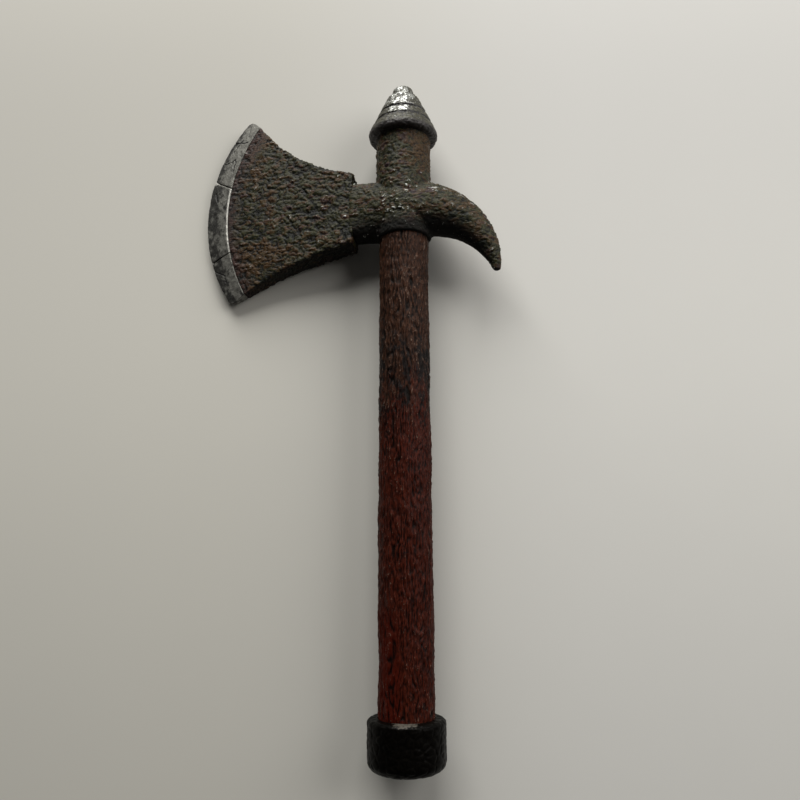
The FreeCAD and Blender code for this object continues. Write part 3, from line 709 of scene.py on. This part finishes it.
def worn_head(iron):
    """The socket, boss, neck and beak: rough iron with filled inner corners and a smoother foot, with a
    painted highlight on faces towards +Y and painted shade on faces towards the butt and round the socket's
    foot.
    """
    mesh = evened(merged_copy("head_forging"), IRON_SPACING)
    free = free_of("head_forging", mesh)
    softened(mesh, IRON_SPACING, HEAD_STEPS, free, fillet=HEAD_FILLET, corner=HEAD_CORNER)
    points = places(mesh)
    flat = unrolled(points)
    facing_up = outward(mesh)[:, 1]
    aside = flat[:, 0]
    up = flat[:, 1] - flat[np.hypot(aside, flat[:, 2]) < SOCKET_RADIUS, 1].min()
    height, own = hammered(flat)
    height = height + HEAD_LIFT
    beak = ramped(aside, *BEAK_ROOT)
    smooth_foot = 1 - 0.7 * ramped(facing_up, -0.3, -0.8)
    depth = np.where(height > 0.9, 0.3, 1.0) * beak + (1 - beak)
    move = smooth_foot * IRON_RELIEF * HEAD_RELIEF * depth * (height - HEAD_LEVEL)
    put(mesh, points + outward(mesh) * (free * move)[:, None])
    lapped(mesh, flat, free)
    tube = ramped(up, *TUBE_START)
    boss = ramped(abs(aside), *BOSS_SIDES) * ramped(up, *BOSS_FOOT) * ramped(up, *BOSS_TOP)
    beak_rust = ramped(aside, *BEAK_RUST) * ramped(aside, *BEAK_RUST_END)
    rust = 0.62 * tube * ramped(aside, *TUBE_RUST) + 0.45 * beak_rust
    foot_shade = ramped(up, *FOOT_SHADE) * ramped(aside, *FOOT_SIDE)
    paint(mesh, "relief", height)
    paint(mesh, "tint", own)
    patches = cloudy(flat, HEAD_RUST_CLOUD, seed=9, octaves=2)
    paint(mesh, "rust", np.clip(rust + 0.18 * patches + 0.1, 0, 1))
    # painted shade on faces towards the butt and round the socket's foot
    paint(mesh, "underside", np.maximum(ramped(facing_up, -0.2, -0.7), foot_shade))
    # brighter on faces towards +Y as a painted highlight and on the boss with wear, less so on the tube
    paint(mesh, "worn", 0.9 * ramped(facing_up, 0.1, 0.7) + 0.9 * boss - 0.3 - 0.4 * tube)
    return finished("head_forging_worn", mesh, iron, "head_iron", "head_forging")


# ---------------------------------------------------------------- the finial

FINIAL_SPACING, FINIAL_STEPS, FINIAL_FILLET, FINIAL_CORNER = 0.5, 16, 0.7, 1.0
FINIAL_LUMPS, FINIAL_SWELLS = (4.6, 3.0, 4.6), (3.0, 2.0, 3.0)
FINIAL_RELIEF, FINIAL_TOP = 0.7, 0.85   # only what is lower than the top is cut into the iron
TIER_GROOVES = (11.2, 18.7)             # heights above the skirt's foot
TIER_GROOVE = (1.6, 0.3)                # from a groove's middle, where it starts and where it is darkest
FRONT_HEIGHT, FRONT_MIDDLE, FRONT_SIDES = (2, 9), -2, (14, 5)
LOW_TIER, HIGH_TIERS = (0.14, 0.26), (0.30, 0.45)  # where they turn bright with wear and a painted highlight, in shares of the cone's height
# where the painted shade round the skirt's foot starts and is full, in shares of the cone's height
SKIRT_FOOT = (0.18, 0.08)


def worn_finial(material):
    """The skirted cone: shallow dents, dark grooves between its tiers, a front bright with wear, a painted
    highlight towards its top and painted shade round its foot.
    """
    mesh = evened(merged_copy("finial_cap"), FINIAL_SPACING)
    free = free_of("finial_cap", mesh)
    softened(mesh, FINIAL_SPACING, FINIAL_STEPS, free, fillet=FINIAL_FILLET, corner=FINIAL_CORNER)
    points = places(mesh)
    crease, own = lumpy(points, FINIAL_LUMPS, seed=3)
    height = 0.6 * crease * (0.4 + 0.6 * own) + 0.6 * billowy(points, FINIAL_SWELLS)
    put(mesh, points + outward(mesh) * (free * FINIAL_RELIEF * np.minimum(height - FINIAL_TOP, 0))[:, None])
    up = points[:, 1] - points[:, 1].min()
    share = up / up.max()
    front = ramped(points[:, 2], *FRONT_HEIGHT) * ramped(abs(points[:, 0] - FRONT_MIDDLE), *FRONT_SIDES)
    groove = np.max([ramped(abs(up - middle), *TIER_GROOVE) for middle in TIER_GROOVES], 0)
    rubbed_and_lit = 0.35 * ramped(share, *LOW_TIER) + 0.65 * ramped(share, *HIGH_TIERS)
    paint(mesh, "relief", np.clip(height - 0.7 * groove, 0, 1))
    # wear on the tiers' fronts, and a painted highlight that grows towards the top
    paint(mesh, "worn", 0.25 * share + 0.50 * front * rubbed_and_lit)
    # painted shade round the skirt's foot
    paint(mesh, "foot", ramped(share, *SKIRT_FOOT))
    return finished("finial_cap_worn", mesh, material, "finial_iron", "finial_cap")


KNOB_SPACING, KNOB_STEPS, KNOB_CORNER = 0.35, 40, 1.6
KNOB_DENT, KNOB_DENT_SIZE = 0.25, (2.5, 2.0, 2.5)
KNOB_BRIGHT, KNOB_FOOT = (0.6, 2.0), (1.2, 0.2)      # heights above the cone's top: where the top turns bright with wear and a painted highlight, and where the painted shade at the foot starts and is full


def worn_knob(material):
    """The domed knob: fine dents, bright on top with wear and a painted highlight, and painted shade where
    it meets the cone.
    """
    mesh = evened(merged_copy("finial_knob"), KNOB_SPACING)
    free = free_of("finial_knob", mesh)
    softened(mesh, KNOB_SPACING, KNOB_STEPS, free, corner=KNOB_CORNER)
    points = places(mesh)
    height = 0.5 + 0.5 * cloudy(points, KNOB_DENT_SIZE, seed=11)
    put(mesh, points - outward(mesh) * (free * KNOB_DENT * np.clip(height, 0, 1))[:, None])
    up = points[:, 1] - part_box("finial_cap")[1].y / MM
    paint(mesh, "relief", np.clip(height + 0.3, 0, 1))
    # bright on top with wear and a painted highlight
    paint(mesh, "worn", 0.62 * ramped(up, *KNOB_BRIGHT))
    # painted shade where the knob meets the cone
    paint(mesh, "foot", ramped(up, *KNOB_FOOT))
    return finished("finial_knob_worn", mesh, material, "finial_iron", "finial_knob")


# ---------------------------------------------------------------- the haft and its cap

HAFT_TURN_STEPS, HAFT_LENGTH_STEPS, BUTT_STEPS = 200, 400, 24
TENON_LOOK = 60                    # the tenon is longer than this
TENON_CHAMFER = 1
SHOULDER_STEP = 1                  # the shoulder stands out further than this from the tenon
SHOULDER_RIM = 1                   # its rim is looked for down to this far below its face


def haft_profile():
    """The haft's (radius, height) pairs from the butt to the tenon's end, and the height of its shoulder."""
    low, high = (corner.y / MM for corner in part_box("haft"))
    cap_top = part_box("pommel_cap")[1].y / MM
    found = unrolled(places(NODES["haft"].data))
    radius, height = np.hypot(found[:, 0], found[:, 2]), found[:, 1]
    tenon = radius[height > high - TENON_LOOK].max()
    shoulder = height[radius > tenon + SHOULDER_STEP].max()
    at_butt = radius[height < cap_top].max()
    at_shoulder = radius[height > shoulder - SHOULDER_RIM].max()
    profile = [(0, low)] + [(at_butt, y) for y in np.linspace(low, cap_top, BUTT_STEPS)]
    profile += [(at_butt + (at_shoulder - at_butt) * share, cap_top + (shoulder - cap_top) * share)
                for share in np.linspace(0, 1, HAFT_LENGTH_STEPS)[1:]]
    profile += [(tenon, shoulder), (tenon, high - TENON_CHAMFER), (tenon - TENON_CHAMFER, high), (0, high)]
    return profile, shoulder


def turned(name, profile):
    """A closed mesh turned about the haft's axis from a profile."""
    shape = bmesh.new()
    corners = [shape.verts.new((radius * MM, height * MM, 0)) for radius, height in profile]
    lines = [shape.edges.new(pair) for pair in zip(corners, corners[1:])]
    bmesh.ops.spin(shape, geom=corners + lines, cent=(0, 0, 0), axis=(0, 1, 0), angle=2 * math.pi,
                   steps=HAFT_TURN_STEPS, use_merge=True)
    bmesh.ops.remove_doubles(shape, verts=shape.verts, dist=SAME_PLACE * MM)
    bmesh.ops.recalc_face_normals(shape, faces=shape.faces)
    mesh = bpy.data.meshes.new(name)
    shape.to_mesh(mesh)
    shape.free()
    mesh.polygons.foreach_set("use_smooth", [True] * len(mesh.polygons))
    return mesh


GROOVES_ROUND = 38
GROOVE_DRIFT, GROOVE_DRIFT_SIZE = 2.6, (9, 34, 9)   # in grooves, and the length that they drift over
MEAN_RADIUS = 16.3
KNOTS = 26
KNOT_HEIGHTS, KNOT_SIZES, KNOT_STRETCHES = (45, 320), (2.2, 5.0), (1.5, 2.4)
KNOT_CORE, KNOT_REACH, KNOT_EDGE = 0.8, 3.2, 0.6    # in sizes of the knot


def grain_lines(around, along, points):
    """Each place's number of grooves, which part round the knots, and 1 on the knots themselves."""
    draws = np.random.default_rng(11)
    girth = 2 * math.pi
    line = around * GROOVES_ROUND / girth + GROOVE_DRIFT * cloudy(points, GROOVE_DRIFT_SIZE, seed=12)
    knot = np.zeros(len(around))
    for _ in range(KNOTS):
        turn, height = draws.uniform(0, girth), draws.uniform(*KNOT_HEIGHTS)
        size, stretch = draws.uniform(*KNOT_SIZES), draws.uniform(*KNOT_STRETCHES)
        aside = ((around - turn + math.pi) % girth - math.pi) * MEAN_RADIUS
        reach = np.hypot(aside, (along - height) / stretch)
        fading = np.exp(-(reach / (size * KNOT_REACH)) ** 2)
        parting = (size / np.maximum(reach, size * KNOT_CORE)) ** 2
        line = line - fading * parting * aside * GROOVES_ROUND / (girth * MEAN_RADIUS)
        knot = np.maximum(knot, ramped(reach, size, size * KNOT_EDGE))
    return line, knot


BARE_FOOT, BARE_TOP = (-0.5, 1.0), (-0.2, -1.2)     # the carving's ends, from the cap and the shoulder
GROOVE_DEPTH, GROOVE_ROUNDING, GROOVE_PATCH = 1.0, 0.8, (5, 25, 5)
FIBRE, FIBRE_SIZE = 0.45, (1.3, 4, 1.3)
HAFT_SWELL, HAFT_SWELL_SIZE = 0.55, (12, 22, 12)
SOOT_PATCH, RED_PATCH = (8, 22, 8), (8, 24, 8)
BLUSH_SIDE = (4, -10)                               # across the haft
# The next ones are shares of the bare haft's length, from the cap.
SMOKE_START, SMOKE_END = (0.55, 0.64), (0.86, 0.72)
REDDENING, BLUSH_START = (0.85, 0.45), (0.34, 0.06)


def worn_haft():
    """The haft turned from its profile, with grain carved along it and its tenon hidden in the socket."""
    profile, shoulder = haft_profile()
    cap_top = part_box("pommel_cap")[1].y / MM
    mesh = turned("haft_worn", profile)
    points = places(mesh)
    around, along = np.arctan2(points[:, 2], points[:, 0]), points[:, 1]
    bare = ramped(along - cap_top, *BARE_FOOT) * ramped(along - shoulder, *BARE_TOP)
    line, knot = grain_lines(around, along, points)
    furrow = np.abs(np.sin(math.pi * line)) ** GROOVE_ROUNDING
    depth = np.clip(0.70 + 0.7 * cloudy(points, GROOVE_PATCH, seed=13, octaves=2), 0.15, 1.0)
    fibre = cloudy(points, FIBRE_SIZE, seed=14)
    height = 1 - depth * (1 - furrow) * (1 - 0.6 * knot) - 0.25 * knot + FIBRE * fibre
    swell = HAFT_SWELL * cloudy(points, HAFT_SWELL_SIZE, seed=15)
    put(mesh, points + outward(mesh) * (bare * (GROOVE_DEPTH * (height - 0.8) + swell))[:, None])
    share = (along - cap_top) / (shoulder - cap_top)
    smoky = 0.42 * ramped(share, *SMOKE_START) * ramped(share, *SMOKE_END)
    smoke, red = cloudy(points, SOOT_PATCH, seed=16), cloudy(points, RED_PATCH, seed=17, octaves=2)
    paint(mesh, "relief", np.clip(height, 0, 1.2))
    paint(mesh, "soot", np.clip(0.22 + smoky + 0.35 * smoke, 0, 1))
    paint(mesh, "red", np.clip(ramped(share, *REDDENING) + 0.3 * red, 0, 1))
    # redder on the -X side near the cap
    paint(mesh, "blush", ramped(points[:, 0], *BLUSH_SIDE) * ramped(share, *BLUSH_START))
    return finished("haft_worn", mesh, haft_wood(), "haft_wood", "haft")


POMMEL_SPACING, POMMEL_STEPS, POMMEL_CORNER = 0.6, 40, 1.6
POMMEL_LUMPS, POMMEL_RELIEF = (6.0, 5.0, 6.0), 0.35
# where the painted highlight on the lip lies: its height, its middle, its width and its reach towards the
# front
LIP_START, LIP_MIDDLE, LIP_SIDES, LIP_FRONT = (22, 27), -1, (13, 2), (2, 16)


def worn_pommel():
    """The black cap: shallow lumps, and a painted highlight on the front of its lip, where the haft enters
    it.
    """
    mesh = evened(merged_copy("pommel_cap"), POMMEL_SPACING)
    free = free_of("pommel_cap", mesh)
    softened(mesh, POMMEL_SPACING, POMMEL_STEPS, free, corner=POMMEL_CORNER)
    points = places(mesh)
    crease, own = lumpy(points, POMMEL_LUMPS, seed=4)
    height = crease * (0.5 + 0.5 * own)
    put(mesh, points + outward(mesh) * (free * POMMEL_RELIEF * (height - 1.0))[:, None])
    # painted highlight: the lip's faces towards +Y, at the front middle, are painted pale
    lip = ramped(outward(mesh)[:, 1], 0.3, 0.8) * ramped(points[:, 1], *LIP_START)
    front = ramped(abs(points[:, 0] - LIP_MIDDLE), *LIP_SIDES) * ramped(points[:, 2], *LIP_FRONT)
    paint(mesh, "worn", lip * front)
    return finished("pommel_cap_worn", mesh, pommel_iron(), "pommel_iron", "pommel_cap")


# ---------------------------------------------------------------- floor, light and camera

FLOOR_HALF, FLOOR_MIDDLE = 3.0, 0.2
LAMP_AIM, LAMP_WIDTH = (0, 0.2, 0), 1.0


def lay_floor():
    """A pale card under the tool, well past what any view sees."""
    shape = bmesh.new()
    bmesh.ops.create_grid(shape, x_segments=1, y_segments=1, size=FLOOR_HALF)
    bmesh.ops.translate(shape, verts=shape.verts, vec=(0, FLOOR_MIDDLE, CAD_BOX[0].z))
    mesh = bpy.data.meshes.new("floor")
    shape.to_mesh(mesh)
    shape.free()
    mesh.materials.append(floor_card())
    floor = bpy.data.objects.new("floor", mesh)
    bpy.context.scene.collection.objects.link(floor)


def hang_light(name, place, power, color):
    """A square softbox that faces the middle of the tool."""
    lamp = bpy.data.lights.new(name, "AREA")
    lamp.shape, lamp.size, lamp.energy, lamp.color = "SQUARE", LAMP_WIDTH, power, color
    holder = bpy.data.objects.new(name, lamp)
    holder.location = place
    holder.rotation_mode = "QUATERNION"
    holder.rotation_quaternion = (Vector(LAMP_AIM) - Vector(place)).to_track_quat("-Z", "Y")
    bpy.context.scene.collection.objects.link(holder)


def light_studio():
    """A window past the head, a weaker bounce from the beak's side, and a faint warm surround."""
    hang_light("window", place=(-0.20, 1.35, 0.66), power=23.0, color=(1.0, 0.985, 0.95))
    hang_light("bounce", place=(1.10, 0.75, 0.78), power=12.5, color=(1.0, 0.98, 0.95))
    world = bpy.data.worlds.new("studio")
    world.use_nodes = True
    sky = world.node_tree.nodes["Background"]
    sky.inputs["Color"].default_value = (1.0, 0.97, 0.92, 1.0)
    sky.inputs["Strength"].default_value = 0.045
    bpy.context.scene.world = world
    bpy.context.scene.view_settings.view_transform = "Standard"


CAMERA_PLACE, CAMERA_LENS, CAMERA_CLIP = (-0.003, 0.125, 0.475), 34.2, 0.01
CAMERA_TILT, CAMERA_TURN = 11.3, -0.27


def set_camera():
    """A camera above the haft, tilted towards the head."""
    camera = bpy.data.cameras.new("camera")
    camera.lens, camera.clip_start = CAMERA_LENS, CAMERA_CLIP
    holder = bpy.data.objects.new("camera", camera)
    holder.location = CAMERA_PLACE
    holder.rotation_mode = "ZYX"
    holder.rotation_euler = (math.radians(CAMERA_TILT), 0, math.radians(CAMERA_TURN))
    bpy.context.scene.collection.objects.link(holder)
    bpy.context.scene.camera = holder


# ---------------------------------------------------------------- the whole scene

def dress_nodes():
    """Finishes for the nodes that keep their own shape."""
    rivets = rivet_steel()
    for node, material in (("wood_wedge", wedge_wood()), ("steel_wedges", wedge_steel()),
                           ("blade_rivets", rivets), ("bit_rivets", rivets), ("pommel_pin", rivets)):
        for slot in NODES[node].material_slots:
            slot.material = material


set_camera()
lay_floor()
light_studio()
iron, steel, finial = forged_iron(), bit_steel(), finial_iron()
worn_blade(iron)
worn_bit("edge_bit_upper", band=0.76, dark=0.85, pale=0.26, material=steel)
worn_bit("edge_bit_middle", band=0.54, dark=0.78, pale=0.38, material=steel)
worn_bit("edge_bit_lower", band=0.58, dark=0.74, pale=0.34, material=steel)
worn_head(iron)
worn_finial(finial)
worn_knob(finial)
worn_haft()
worn_pommel()
dress_nodes()
